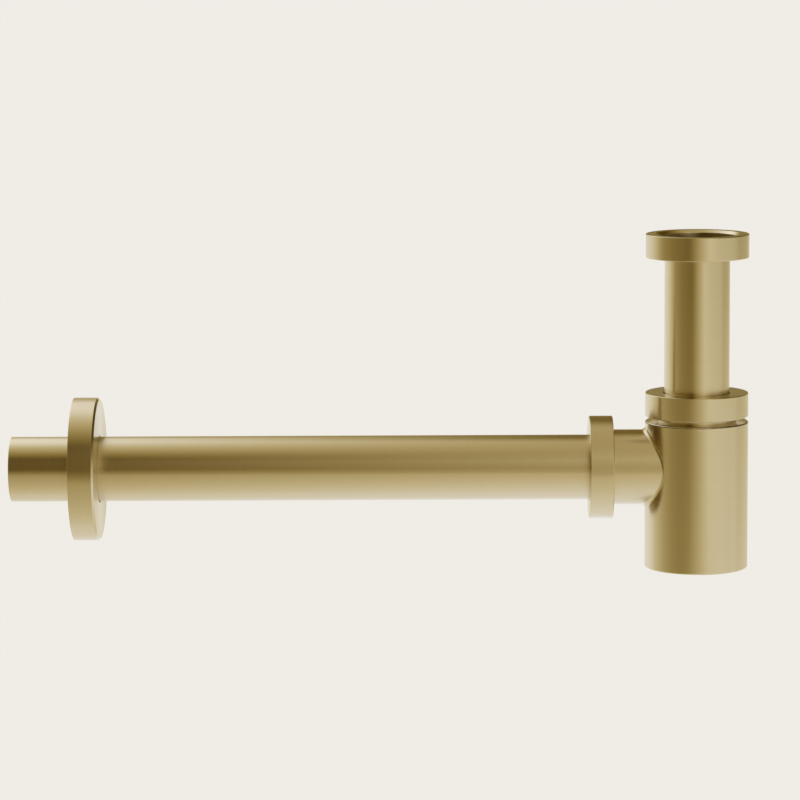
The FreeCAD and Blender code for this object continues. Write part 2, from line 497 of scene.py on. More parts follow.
@dataclass(frozen=True)
class BrushedBrass:
    """Satin brass with hair lines round the axis of turning.

    Attributes:
        turning: the axis that the hair lines go round.
        height: level of the axis, for a level one.
        light: colour of the open lines.
        deep: colour of the closed lines.
        roughness: mean roughness.
        spread: how far the grain moves the roughness.
        grain_range: values of the grain between which it moves.
        relief: depth of the hair lines.
        bump: strength of the hair lines.
        stretch: how far the hair lines draw out a highlight.
        stretch_turn: turn from the hair lines to the way they draw it out.
    """

    turning: Turning
    height: float = 0.0
    light: Triple = (0.680, 0.578, 0.360)
    deep: Triple = (0.650, 0.552, 0.344)
    roughness: float = 0.21
    spread: float = 0.04
    grain_range: tuple[float, float] = (0.25, 0.75)
    relief: float = 0.001 * MM
    bump: float = 0.3
    stretch: float = 0.62
    stretch_turn: float = 0.25

    def material(self, groups: NodeGroups) -> bpy.types.Material:
        """Builds the finish.

        Args:
            groups: the shared effects.

        Returns:
            The material.
        """
        made, tree = new_material("brushed_brass_" + self.turning.value)
        place = tree.add("ShaderNodeTexCoord").outputs["Object"]
        level = self.turning is Turning.LEVEL
        if level:
            to_axis = (0.0, 0.0, -self.height)
            place = tree.add("ShaderNodeVectorMath", {0: place, 1: to_axis}, operation="ADD").outputs[0]
        axis = INWARD if level else UP
        round_way = tree.add("ShaderNodeVectorMath", {0: axis, 1: place}, operation="CROSS_PRODUCT")
        tangent = tree.add(
            "ShaderNodeVectorTransform",
            {0: round_way.outputs[0]},
            vector_type="VECTOR",
            convert_from="OBJECT",
            convert_to="WORLD",
        )
        if level:
            parts = tree.add("ShaderNodeSeparateXYZ", {0: place}).outputs
            place = tree.add("ShaderNodeCombineXYZ", {0: parts[1], 1: parts[2], 2: parts[0]}).outputs[0]
        grain = tree.add("ShaderNodeGroup", {"Place": place}, node_tree=groups.grain).outputs
        low, high = self.roughness - self.spread / 2, self.roughness + self.spread / 2
        bump = tree.add(
            "ShaderNodeBump", {"Strength": self.bump, "Distance": self.relief, "Height": grain["Height"]}
        )
        tree.feed(made.node_tree.nodes["Principled BSDF"], {
            "Base Color": tree.tint(grain["Tone"], self.deep, self.light),
            "Metallic": 1.0,
            "Roughness": tree.span(grain["Grain"], self.grain_range, (low, high)),
            "Normal": bump.outputs[0],
            "Tangent": tangent.outputs[0],
            "Anisotropic": self.stretch,
            "Anisotropic Rotation": self.stretch_turn,
        })
        return made


@dataclass(frozen=True)
class MouldedFinish:
    """Moulded rubber or plastic with a fine uneven surface.

    Attributes:
        slot: the record's slot that it dresses.
        pale: colour of the high spots.
        dark: colour of the hollows.
        roughness: lowest and highest roughness.
        relief: depth of the specks.
        bump: strength of the specks.
    """

    slot: Slot
    pale: Triple
    dark: Triple
    roughness: tuple[float, float]
    relief: float
    bump: float = 0.6

    def material(self, groups: NodeGroups) -> bpy.types.Material:
        """Builds the finish.

        Args:
            groups: the shared effects.

        Returns:
            The material.
        """
        made, tree = new_material(self.slot.value + "_moulded")
        place = tree.add("ShaderNodeTexCoord").outputs["Object"]
        mottle = tree.add("ShaderNodeGroup", {"Place": place}, node_tree=groups.mottle).outputs
        bump = tree.add(
            "ShaderNodeBump", {"Strength": self.bump, "Distance": self.relief, "Height": mottle["Speck"]}
        )
        tree.feed(made.node_tree.nodes["Principled BSDF"], {
            "Base Color": tree.tint(mottle["Cloud"], self.dark, self.pale),
            "Roughness": tree.span(mottle["Speck"], (0.0, 1.0), self.roughness),
            "Normal": bump.outputs[0],
        })
        return made


class Finishes:
    """All finishes of the trap, each made once."""

    def __init__(self, outlet_height: float) -> None:
        """Makes the materials.

        Args:
            outlet_height: level of the outlet's axis.
        """
        groups = NodeGroups()
        rubber = MouldedFinish(
            slot=Slot.RUBBER,
            pale=(0.030, 0.029, 0.028),
            dark=(0.018, 0.018, 0.018),
            roughness=(0.55, 0.75),
            relief=0.02 * MM,
        )
        plastic = MouldedFinish(
            slot=Slot.PLASTIC,
            pale=(0.74, 0.73, 0.70),
            dark=(0.66, 0.65, 0.62),
            roughness=(0.35, 0.5),
            relief=0.01 * MM,
        )
        self.upright = BrushedBrass(Turning.UPRIGHT).material(groups)
        self.level = BrushedBrass(Turning.LEVEL, height=outlet_height).material(groups)
        self.rubber = rubber.material(groups)
        self.plastic = plastic.material(groups)


@dataclass(frozen=True)
class PipeThread:
    """Parallel pipe thread, the same on the nuts and on the necks they grip.

    Attributes:
        pitch: advance of one turn.
        depth: height of the ridge on a neck.
        groove: depth of the groove in a nut.
        swing: half height of the wave that is cut flat into crests and roots.
        row: step of the rows along the axis.
        nut_fade: lengths over which a nut's thread runs out at its relief and at its mouth.
        neck_fade: lengths over which a neck's thread runs out at its shoulder and at its end.
    """

    pitch: float = 2.309 * MM
    depth: float = 1.30 * MM
    groove: float = 1.45 * MM
    swing: float = 0.72
    row: float = 0.14 * MM
    nut_fade: tuple[float, float] = (1.2 * MM, 0.6 * MM)
    neck_fade: tuple[float, float] = (0.9 * MM, 1.6 * MM)

    def ridge(self, place: np.ndarray, angle: np.ndarray) -> np.ndarray:
        """Height from 0 in the root to 1 on the crest, by the distance from the nut's lip and the angle."""
        turns = place / self.pitch - angle / (2 * math.pi)
        return np.clip(0.5 + self.swing * np.cos(2 * math.pi * turns), 0.0, 1.0)

    def rows(self, start: float, end: float) -> np.ndarray:
        """Heights of the rows from start to end."""
        return np.linspace(start, end, max(2, int(abs(end - start) / self.row) + 1))

    def female(
        self,
        lay: Lay,
        bore: float,
        root: float,
        mouth: float,
        chamfer: float,
        entry: float,
        angles: np.ndarray,
    ) -> np.ndarray:
        """Threaded bore of a nut, from its mouth down to the relief.

        Args:
            lay: how the nut lies, with its lip at zero.
            bore: minor radius.
            root: height at which the thread runs out into the relief.
            mouth: height of the nut's mouth.
            chamfer: depth and width of the mouth's chamfer.
            entry: plain length below the mouth.
            angles: the columns.

        Returns:
            A grid of points.
        """
        height = self.rows(mouth, root)[:, None]
        at_root = np.clip((height - root) / self.nut_fade[0], 0, 1)
        at_mouth = np.clip((mouth - entry - height) / self.nut_fade[1], 0, 1)
        run_out = at_root * at_mouth
        radius = bore + self.groove * run_out * self.ridge(height, angles[None])
        cone = bore + np.clip(height - (mouth - chamfer), 0, None)
        return lay.ring(np.maximum(radius, cone), height, angles[None])

    def male(
        self,
        lay: Lay,
        neck: float,
        start: float,
        end: float,
        lip: float,
        run_in: float,
        angles: np.ndarray,
    ) -> np.ndarray:
        """Threaded outside of a neck.

        Args:
            lay: how the neck lies.
            neck: root radius.
            start: height at which the neck leaves its shoulder.
            end: height of the neck's end.
            lip: height of the nut's lip, from which the thread is counted.
            run_in: plain length next to the shoulder.
            angles: the columns.

        Returns:
            A grid of points.
        """
        height = self.rows(start, end)[:, None]
        at_shoulder = np.clip((height - start - run_in) / self.neck_fade[0], 0, 1)
        at_end = np.clip((end - height) / self.neck_fade[1], 0, 1)
        fade = at_shoulder * at_end
        radius = neck + self.depth * fade * self.ridge(height - lip, angles[None])
        return lay.ring(radius, height, angles[None])


@dataclass
class RoundNut:
    """Round nut with a lip at one end and a threaded mouth at the other.

    Attributes:
        node: the CAD node that it stands for.
        body: the CAD body that it rides on.
        along: direction from its lip to its mouth.
        guide: radius of the hole in the lip.
        bore: minor radius of the thread.
        stack: height of what lies on the lip, inside the nut.
        lip: thickness of the lip.
        relief: depth of the thread's relief.
        chamfer: width of the mouth's chamfer.
        edge: rounding of the outer edges.
        hole_edge: rounding of the hole in the lip.
        entry: plain length of the bore below the mouth.
        thread: the thread in the bore.
    """

    node: str
    body: str
    along: Triple
    guide: float
    bore: float
    stack: float = 3.2 * MM
    lip: float = 2.0 * MM
    relief: float = 0.6 * MM
    chamfer: float = 1.3 * MM
    edge: float = 0.4 * MM
    hole_edge: float = 0.35 * MM
    entry: float = 0.0
    thread: PipeThread = field(default_factory=PipeThread)

    def lay(self) -> Lay:
        """Finds how the nut lies.

        Returns:
            Its lay, with the lip's outer face at zero.
        """
        low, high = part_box(self.node)
        middle = (low + high) / 2
        half = max(abs(a * (h - m)) for a, h, m in zip(self.along, high, middle))
        return Lay(tuple(m - a * half for m, a in zip(middle, self.along)), self.along)

    def build(self, finish: bpy.types.Material) -> bpy.types.Object:
        """Builds and dresses the nut.

        Args:
            finish: its brass.

        Returns:
            The piece.
        """
        low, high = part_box(self.node)
        sides = sorted(high - low)
        height, radius = sides[0], sides[2] / 2
        lay, angles, skin = self.lay(), even_turn(), Skin()
        ledge = self.lip + self.stack
        skin.turn(lay, [
            Corner(self.bore, ledge),
            Corner(self.bore + self.relief, ledge),
            Corner(self.bore + self.relief, self.lip),
            Corner(self.guide, self.lip),
            Corner(self.guide, 0.0, self.hole_edge),
            Corner(radius, 0.0, self.edge),
            Corner(radius, height, self.edge),
            Corner(self.bore + self.chamfer, height),
        ], angles)
        skin.grid(self.thread.female(lay, self.bore, ledge, height, self.chamfer, self.entry, angles))
        return stand_in(skin.piece(self.node + "_turned", [finish]), self.body, self.node)


@dataclass
class InletTube:
    """Tube that hangs in the bottle from a flange in the inlet nut.

    Attributes:
        node: the CAD node that it stands for.
        body: the CAD body that it rides on.
        wall: thickness of the tube.
        flange: thickness of the flange.
        edge: rounding of the lower outer edge.
        bore_edge: rounding of the lower inner edge.
        flange_edge: rounding of the flange's rim.
        mouth_edge: rounding of the upper inner edge.
    """

    node: str = "inlet_tube"
    body: str = "inlet_tube"
    wall: float = 1.2 * MM
    flange: float = 1.2 * MM
    edge: float = 0.3 * MM
    bore_edge: float = 0.2 * MM
    flange_edge: float = 0.15 * MM
    mouth_edge: float = 0.3 * MM

    def build(self, radius: float, finish: bpy.types.Material) -> bpy.types.Object:
        """Builds and dresses the tube.

        Args:
            radius: the tube's outer radius.
            finish: its brass.

        Returns:
            The piece.
        """
        low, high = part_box(self.node)
        bore, flange_radius = radius - self.wall, (high.x - low.x) / 2
        middle = (low.z + high.z) / 2
        skin = Skin()
        skin.turn(Lay((0.0, 0.0, 0.0), UP), [
            Corner(bore, middle),
            Corner(bore, low.z, self.bore_edge),
            Corner(radius, low.z, self.edge),
            Corner(radius, high.z - self.flange),
            Corner(flange_radius, high.z - self.flange, self.flange_edge),
            Corner(flange_radius, high.z, self.flange_edge),
            Corner(bore, high.z, self.mouth_edge),
            Corner(bore, middle),
        ], even_turn())
        return stand_in(skin.piece("inlet_tube_drawn", [finish]), self.body, self.node)


@dataclass(frozen=True)
class BottleSizes:
    """Radii and places of the bottle, read from the frame.

    Attributes:
        radius: the body's outer radius.
        base: level of its base.
        top: level of its top.
        neck_top: level of the neck's end.
        cap_lip: level of the cap nut's lip.
        axis: level of the outlet's axis.
        outlet_mouth: reach of the outlet nut's mouth.
        outlet_lip: reach of the outlet nut's lip.
        outlet_end: reach of the outlet's end.
        guide: radius of the guides for the tubes.
        bore: radius of the way out.
    """

    radius: float
    base: float
    top: float
    neck_top: float
    cap_lip: float
    axis: float
    outlet_mouth: float
    outlet_lip: float
    outlet_end: float
    guide: float
    bore: float


@dataclass
class Bottle:
    """Bottle with a threaded neck and a side outlet that joins it along a saddle.

    Attributes:
        node: the CAD node that it stands for.
        body: the CAD body that it rides on.
        wall: thickness of the body's wall.
        floor: thickness of its base.
        shoulder: thickness of its top.
        edge: rounding of its rims.
        groove: gap between the body's top and the cap nut.
        run_in: plain length of the neck beyond that gap.
        setback: how far the outlet's thread starts inside the nut's mouth.
        spigot: radius of the outlet.
        fillet: radius of the brazed saddle.
        neck: root radius of the threaded necks.
        mouth: radius of the seats' wide ends.
        cone: depth of the seats.
        stop: reach of the stop in the outlet's socket.
        columns: columns of the body.
        half_window: columns of the wall on each side of the outlet that the saddle takes up.
        window_rows: rows of the wall that the saddle takes up.
        outer_margin: how far the outer wall's window goes beyond the saddle.
        inner_margin: how far the inner wall's window goes beyond the way out.
        patch_rows: rows of the wall between its grid and the saddle.
        fillet_rows: rows of the saddle.
        port_rows: rows of the wall round the way out.
        saddle_rounds: rounds in which the fillet's foot is found.
        thread: the thread on both necks.
    """

    node: str = "bottle"
    body: str = "bottle"
    wall: float = 1.6 * MM
    floor: float = 2.0 * MM
    shoulder: float = 3.0 * MM
    edge: float = 0.7 * MM
    groove: float = 2.5 * MM
    run_in: float = 0.3 * MM
    setback: float = 0.7 * MM
    spigot: float = 18.5 * MM
    fillet: float = 2.0 * MM
    neck: float = 19.4 * MM
    mouth: float = 18.6 * MM
    cone: float = 3.5 * MM
    stop: float = 30.0 * MM
    columns: int = 180
    half_window: int = 31
    window_rows: int = 40
    outer_margin: float = 2.0 * MM
    inner_margin: float = 4.0 * MM
    patch_rows: int = 13
    fillet_rows: int = 11
    port_rows: int = 5
    saddle_rounds: int = 60
    thread: PipeThread = field(default_factory=PipeThread)

    def window(self, wall: np.ndarray, low_row: int, high_row: int) -> tuple[np.ndarray, np.ndarray]:
        """Opening in a wall grid where the saddle goes.

        Args:
            wall: rows by columns by 3, with column zero at the outlet.
            low_row: row of the window's lower side.
            high_row: row of the window's upper side.

        Returns:
            The faces to keep, and the window's rim as points in order round the outlet.
        """
        keep = np.ones((wall.shape[0] - 1, self.columns), bool)
        first, last = min(low_row, high_row), max(low_row, high_row)
        side = self.half_window
        for column in range(-side, side):
            keep[first:last, column] = False
        down = 1 if low_row > high_row else -1
        rows_down = list(range(high_row, low_row, down))
        rim = [(high_row, c) for c in range(0, -side, -1)]
        rim += [(r, -side) for r in rows_down]
        rim += [(low_row, c) for c in range(-side, side)]
        rim += [(r + down, side) for r in reversed(rows_down)]
        rim += [(high_row, c) for c in range(side, 0, -1)]
        return keep, np.array([wall[r, c] for r, c in rim])

    def pierced_wall(
        self,
        skin: Skin,
        upright: Lay,
        radius: float,
        ends: tuple[float, float],
        opening: tuple[float, float],
    ) -> np.ndarray:
        """Adds an upright wall with a window for the outlet.

        Args:
            skin: the piece's skin.
            upright: lay of the body.
            radius: the wall's radius.
            ends: its first and last level, upwards for an outside and downwards for an inside.
            opening: first and last level of the window, in the same order.

        Returns:
            The window's rim as points in order round the outlet.
        """
        turn = even_turn(self.columns, math.pi)
        outside = ends[1] > ends[0]
        levels = np.concatenate([ends[:1], np.linspace(*opening, self.window_rows + 1), ends[1:]])
        wall = upright.ring(radius, levels[:, None], turn[None])
        rows = (1, self.window_rows + 1) if outside else (self.window_rows + 1, 1)
        keep, rim = self.window(wall, *rows)
        straight = np.zeros((len(levels), 1))
        outward = straight + (1.0 if outside else -1.0)
        skin.grid(wall, upright.turned_vector(outward, straight, turn[None]), 0, keep)
        return rim

    @staticmethod
    def on_wall(radius: float, reach: np.ndarray, angle: np.ndarray, axis_height: float) -> np.ndarray:
        """Points of an upright wall at distances and turns about the outlet's axis."""
        across, up = reach * np.sin(angle), reach * np.cos(angle)
        return np.stack([-np.sqrt(radius**2 - across**2), across, axis_height + up], axis=-1)

    def saddle(self, radius: float, angle: np.ndarray) -> tuple[np.ndarray, ...]:
        """Rolling-ball fillet between the body and the spigot.

        Args:
            radius: the body's radius.
            angle: turns about the outlet's axis.

        Returns:
            Reach of the fillet's foot on the body, reach and height of the ball's centre, and the ball's
            direction towards the foot.
        """
        target = self.spigot + self.fillet
        foot = np.full_like(angle, target)
        for _ in range(self.saddle_rounds):
            height = np.sqrt(radius**2 - (foot * np.sin(angle)) ** 2)
            slope = foot * np.sin(angle) ** 2 / height
            outward = slope / np.sqrt(1 + slope**2)
            foot = target - self.fillet * outward
        height = np.sqrt(radius**2 - (foot * np.sin(angle)) ** 2)
        onward = np.sqrt(1 - outward**2)
        centre = height + self.fillet * onward
        return foot, np.full_like(angle, target), centre, np.arctan2(-onward, -outward)

    def outer_skin(self, skin: Skin, sizes: BottleSizes, upright: Lay, level: Lay) -> np.ndarray:
        """Adds the outside of the body, neck, saddle and spigot.

        Args:
            skin: the piece's skin.
            sizes: the bottle's radii and places.
            upright: lay of the body.
            level: lay of the outlet.

        Returns:
            The columns of the outlet's outside.
        """
        radius, axis = sizes.radius, sizes.axis
        turn = even_turn(self.columns, math.pi)
        base_edge, top_edge = sizes.base + self.edge, sizes.top - self.edge
        half = self.spigot + self.fillet + self.outer_margin
        skin.turn(upright, [
            Corner(0.0, sizes.base),
            Corner(radius, sizes.base, self.edge),
            Corner(radius, base_edge),
        ], turn)
        rim = self.pierced_wall(skin, upright, radius, (base_edge, top_edge), (axis - half, axis + half))
        skin.turn(upright, [
            Corner(radius, top_edge),
            Corner(radius, sizes.top, self.edge),
            Corner(self.neck, sizes.top),
        ], turn)
        plain = self.groove + self.run_in
        skin.grid(self.thread.male(
            upright, self.neck, sizes.top, sizes.neck_top, sizes.cap_lip, plain, turn
        ))

        angle = np.arctan2(rim[:, 1], rim[:, 2] - axis)
        reach = np.hypot(rim[:, 1], rim[:, 2] - axis)
        foot, centre_reach, centre_height, foot_turn = self.saddle(radius, angle)
        share = np.linspace(0, 1, self.patch_rows)[:, None]
        patch = self.on_wall(radius, reach + (foot - reach) * share, angle, axis)
        patch[0] = rim
        flat = patch.copy()
        flat[..., 2] = 0.0
        skin.grid(patch, flat / radius)

        share = np.linspace(0, 1, self.fillet_rows)[:, None]
        sweep = foot_turn + (-math.pi - foot_turn) * share
        fillet_reach = centre_reach + self.fillet * np.cos(sweep)
        fillet = level.ring(fillet_reach, centre_height + self.fillet * np.sin(sweep), angle)
        fillet[0] = patch[-1]
        outward = level.turned_vector(np.ones_like(angle), np.zeros_like(angle), angle)
        normals = grid_normals(fillet)
        normals[0] = flat[-1] / radius
        normals[-1] = outward
        skin.grid(fillet, normals, 1)

        collar = sizes.outlet_mouth + self.setback
        end = level.ring(self.spigot, np.array([collar]), angle)
        skin.grid(np.stack([fillet[-1], end]), np.stack([outward, outward]), 1)
        skin.turn(level, [Corner(self.spigot, collar), Corner(self.neck, collar)], angle, 1)
        thread = self.thread.male(
            level, self.neck, collar, sizes.outlet_end, sizes.outlet_lip, 0.0, angle
        )
        skin.grid(thread, finish=1)
        return angle

    def inner_skin(
        self, skin: Skin, sizes: BottleSizes, upright: Lay, level: Lay, outer: np.ndarray
    ) -> None:
        """Adds the chamber, the guide of the inlet tube and the socket of the wall tube.

        Args:
            skin: the piece's skin.
            sizes: the bottle's radii and places.
            upright: lay of the body.
            level: lay of the outlet.
            outer: the columns of the outlet's outside.
        """
        radius, axis, guide = sizes.radius - self.wall, sizes.axis, sizes.guide
        turn = even_turn(self.columns, math.pi)
        roof, floor = sizes.top - self.shoulder, sizes.base + self.floor
        skin.turn(upright, [
            Corner(self.neck, sizes.neck_top),
            Corner(self.mouth, sizes.neck_top),
            Corner(guide, sizes.neck_top - self.cone),
            Corner(guide, roof),
            Corner(radius, roof),
        ], turn)
        half = sizes.bore + self.inner_margin
        rim = self.pierced_wall(skin, upright, radius, (roof, floor), (axis + half, axis - half))
        skin.turn(upright, [Corner(radius, floor), Corner(0.0, floor)], turn)

        angle = np.arctan2(rim[:, 1], rim[:, 2] - axis)
        reach = np.hypot(rim[:, 1], rim[:, 2] - axis)
        end = sizes.outlet_end
        rings = np.stack([
            level.ring(self.neck, np.array(end), outer), level.ring(self.mouth, np.array(end), angle)
        ])
        face = np.broadcast_to(np.array(level.along, float), rings.shape)
        skin.grid(rings, face, 1)
        skin.turn(level, [
            Corner(self.mouth, end),
            Corner(guide, end - self.cone),
            Corner(guide, self.stop),
            Corner(sizes.bore, self.stop),
        ], angle, 1)
        share = np.linspace(0, 1, self.port_rows)[:, None]
        port = self.on_wall(radius, sizes.bore + (reach - sizes.bore) * share, angle, axis)
        port[-1] = rim
        inward = level.turned_vector(-np.ones_like(angle), np.zeros_like(angle), angle)
        start = level.ring(sizes.bore, np.array([self.stop]), angle)
        skin.grid(np.stack([start, port[0]]), np.stack([inward, inward]), 1)
        flat = -port.copy()
        flat[..., 2] = 0.0
        skin.grid(port, flat / radius)

    def build(self, guide: float, bore: float, finishes: Finishes) -> bpy.types.Object:
        """Builds and dresses the bottle.

        Args:
            guide: radius of the guides for the tubes.
            bore: radius of the way out.
            finishes: all finishes.

        Returns:
            The piece.
        """
        low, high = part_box(self.node)
        cap_low, cap_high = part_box("cap_nut")
        nut_low, nut_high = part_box("outlet_nut")
        sizes = BottleSizes(
            radius=high.x,
            base=low.z,
            top=cap_low.z - self.groove,
            neck_top=high.z,
            cap_lip=cap_high.z,
            axis=(nut_low.z + nut_high.z) / 2,
            outlet_mouth=-nut_high.x,
            outlet_lip=-nut_low.x,
            outlet_end=-low.x,
            guide=guide,
            bore=bore,
        )
        skin = Skin()
        upright = Lay((0.0, 0.0, 0.0), UP)
        level = Lay((0.0, 0.0, sizes.axis), TO_WALL)
        outer = self.outer_skin(skin, sizes, upright, level)
        self.inner_skin(skin, sizes, upright, level, outer)
        made = skin.piece("bottle_brazed", [finishes.upright, finishes.level])
        return stand_in(made, self.body, self.node)


@dataclass
class WallRun:
    """Tube to the wall with the flange that covers the hole in the wall.

    Attributes:
        tube_node: the CAD node of the tube.
        tube_body: the CAD body that the tube rides on.
        flange_node: the CAD node of the flange.
        flange_body: the CAD body that the flange rides on.
        tube_wall: thickness of the tube.
        tube_edge: rounding of the tube's outer edges.
        bore_edge: rounding of the tube's inner edges.
        face: thickness of the flange's face.
        rim: thickness of the flange's rim.
        chamfer: width of the chamfer round the face.
        edge: rounding of the rim and hub at the wall.
        rim_corner: rounding inside, between rim and face.
        hub_corner: rounding inside, between hub and face.
        hole_edge: rounding of the hole in the face.
        hub: radius of the hub.
        hub_setback: how far the hub stays clear of the wall.
        ring_groove: radius of the grip ring's groove.
        ring_half: half width of that groove.
    """

    tube_node: str = "wall_tube"
    tube_body: str = "wall_tube"
    flange_node: str = "wall_flange"
    flange_body: str = "wall_flange"
    tube_wall: float = 1.2 * MM
    tube_edge: float = 0.3 * MM
    bore_edge: float = 0.2 * MM
    face: float = 2.0 * MM
    rim: float = 2.0 * MM
    chamfer: float = 1.0 * MM
    edge: float = 0.3 * MM
    rim_corner: float = 1.0 * MM
    hub_corner: float = 0.8 * MM
    hole_edge: float = 0.35 * MM
    hub: float = 20.5 * MM
    hub_setback: float = 2.4 * MM
    ring_groove: float = 18.5 * MM
    ring_half: float = 1.3 * MM

    def build_tube(self, finish: bpy.types.Material) -> bpy.types.Object:
        """Builds and dresses the wall tube.

        Args:
            finish: its brass.

        Returns:
            The piece.
        """
        low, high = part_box(self.tube_node)
        radius, axis = (high.z - low.z) / 2, (high.z + low.z) / 2
        bore, length = radius - self.tube_wall, high.x - low.x
        skin = Skin()
        skin.turn(Lay((high.x, 0.0, axis), TO_WALL), [
            Corner(bore, length / 2),
            Corner(bore, 0.0, self.bore_edge),
            Corner(radius, 0.0, self.tube_edge),
            Corner(radius, length, self.tube_edge),
            Corner(bore, length, self.bore_edge),
            Corner(bore, length / 2),
        ], even_turn())
        return stand_in(skin.piece("wall_tube_drawn", [finish]), self.tube_body, self.tube_node)

    def build_flange(self, guide: float, finish: bpy.types.Material) -> bpy.types.Object:
        """Builds and dresses the flange.

        Args:
            guide: radius of its hole.
            finish: its brass.

        Returns:
            The piece.
        """
        low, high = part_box(self.flange_node)
        radius, axis = (high.z - low.z) / 2, (high.z + low.z) / 2
        depth = high.x - low.x
        hub_end = depth - self.hub_setback
        ring_at = (self.face + hub_end) / 2
        skin = Skin()
        skin.turn(Lay((high.x, 0.0, axis), TO_WALL), [
            Corner(guide, ring_at - self.ring_half),
            Corner(guide, 0.0, self.hole_edge),
            Corner(radius - self.chamfer, 0.0),
            Corner(radius, self.chamfer),
            Corner(radius, depth, self.edge),
            Corner(radius - self.rim, depth, self.edge),
            Corner(radius - self.rim, self.face, self.rim_corner),
            Corner(self.hub, self.face, self.hub_corner),
            Corner(self.hub, hub_end, self.edge),
            Corner(guide, hub_end, self.edge),
            Corner(guide, ring_at + self.ring_half),
            Corner(self.ring_groove, ring_at + self.ring_half),
            Corner(self.ring_groove, ring_at - self.ring_half),
            Corner(guide, ring_at - self.ring_half),
        ], even_turn())
        return stand_in(skin.piece("wall_flange_turned", [finish]), self.flange_body, self.flange_node)


@dataclass
class Seals:
    """Rubber and plastic rings inside the joints, which keep their CAD solids.

    Attributes:
        rubber_nodes: CAD nodes of the rubber rings.
        plastic_nodes: CAD nodes of the plastic rings.
    """

    rubber_nodes: tuple[str, ...] = (
        "inlet_washer", "cap_cone_seal", "outlet_cone_seal", "flange_grip_ring",
    )
    plastic_nodes: tuple[str, ...] = ("cap_slip_ring", "outlet_slip_ring")

    def dress(self, finishes: Finishes) -> list[bpy.types.Object]:
        """Gives the rings their finishes.

        Args:
            finishes: all finishes.

        Returns:
            The dressed CAD nodes.
        """
        dressed = []
        for names, material, slot in (
            (self.rubber_nodes, finishes.rubber, Slot.RUBBER),
            (self.plastic_nodes, finishes.plastic, Slot.PLASTIC),
        ):
            for name in names:
                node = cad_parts[name]
                for held in node.material_slots:
                    held.material = material
                dressed.append(node)
        return dressed


